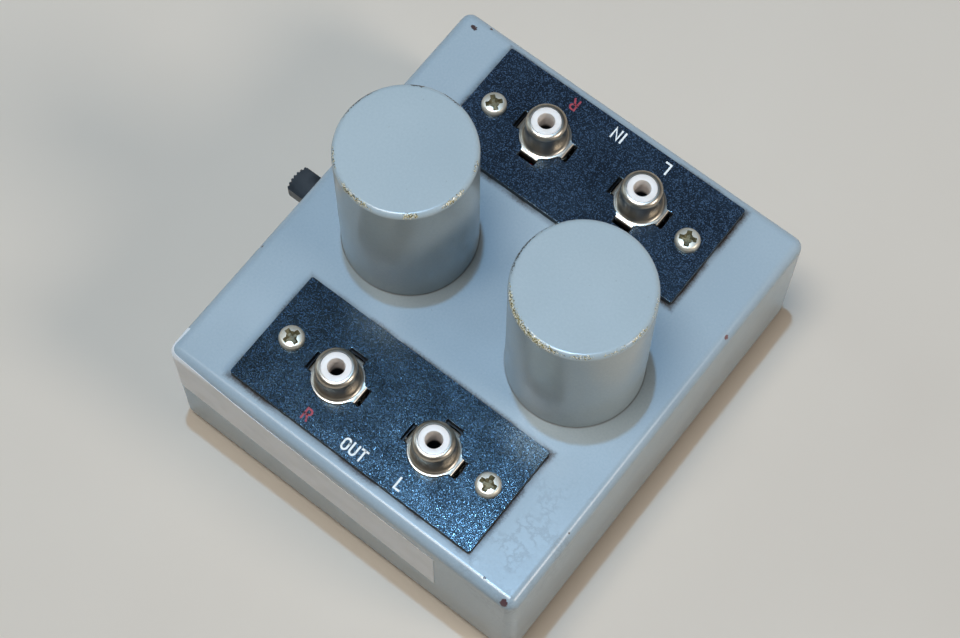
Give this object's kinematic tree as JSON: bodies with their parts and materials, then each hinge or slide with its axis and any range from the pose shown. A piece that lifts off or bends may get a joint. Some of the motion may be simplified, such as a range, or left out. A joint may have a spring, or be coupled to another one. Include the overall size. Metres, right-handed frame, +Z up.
{
  "type": "moving coil step-up transformer",
  "caption": "Small enamelled steel box with round shield cans on top, dark boards of phono jacks for input and output, and a slide switch in its side.",
  "frame": {"origin": "on the floor under the middle of the box, level with the undersides of the feet", "axes": "+Z up, -Y towards the output jacks, +Y towards the input jacks, -X out of the wall with the switch"},
  "size_m": [0.0971, 0.101, 0.078],
  "materials": {
    "enamel": "glossy light blue-grey baked enamel, chipped at edges and rims",
    "zinc_steel": "zinc plated sheet and fasteners",
    "rubber": "black moulded rubber",
    "board": "blue-black laminate with a fine glinting grain",
    "nickel": "nickel plated, a little dulled",
    "white_plastic": "white moulded plastic",
    "brass": "bare spring brass",
    "fibre": "brown paper laminate",
    "core_steel": "dark stacked laminations",
    "nylon": "natural nylon",
    "copper": "enamelled copper windings",
    "felt": "pressed grey felt",
    "wire": "sleeved hook-up wire",
    "tinned_wire": "tinned copper",
    "black_plastic": "black moulded plastic"
  },
  "bodies": {
    "case": {"chassis": "enamel", "corner_blocks": "zinc_steel", "bottom_plate": "zinc_steel", "rubber_feet": "rubber", "foot_screws": "zinc_steel", "out_board": "board", "in_board": "board", "board_screws": "nickel", "board_nuts": "zinc_steel", "out_r_shell": "nickel", "out_r_insulator": "white_plastic", "out_r_contact": "brass", "out_l_shell": "nickel", "out_l_insulator": "white_plastic", "out_l_contact": "brass", "in_r_shell": "nickel", "in_r_insulator": "white_plastic", "in_r_contact": "brass", "in_l_shell": "nickel", "in_l_insulator": "white_plastic", "in_l_contact": "brass", "r_shield_can": "enamel", "r_base_disc": "fibre", "r_core": "core_steel", "r_bobbin": "nylon", "r_primary": "copper", "r_secondary": "copper", "r_clamp_bar": "zinc_steel", "r_clamp_bolts": "zinc_steel", "r_felt_pad": "felt", "r_leads": "wire", "l_shield_can": "enamel", "l_base_disc": "fibre", "l_core": "core_steel", "l_bobbin": "nylon", "l_primary": "copper", "l_secondary": "copper", "l_clamp_bar": "zinc_steel", "l_clamp_bolts": "zinc_steel", "l_felt_pad": "felt", "l_leads": "wire", "clamp_nuts": "zinc_steel", "lead_grommets": "rubber", "ground_bus": "tinned_wire", "switch_frame": "zinc_steel", "switch_base": "fibre", "switch_terminals": "tinned_wire", "switch_screws": "nickel"},
    "slider": {"switch_slider": "black_plastic", "switch_wipers": "brass"}
  },
  "joints": [
    {"name": "switch_slide", "type": "slide", "parent": "case", "child": "slider", "axis": [0, 1, 0], "range_m": [0, 0.003]}
  ]
}
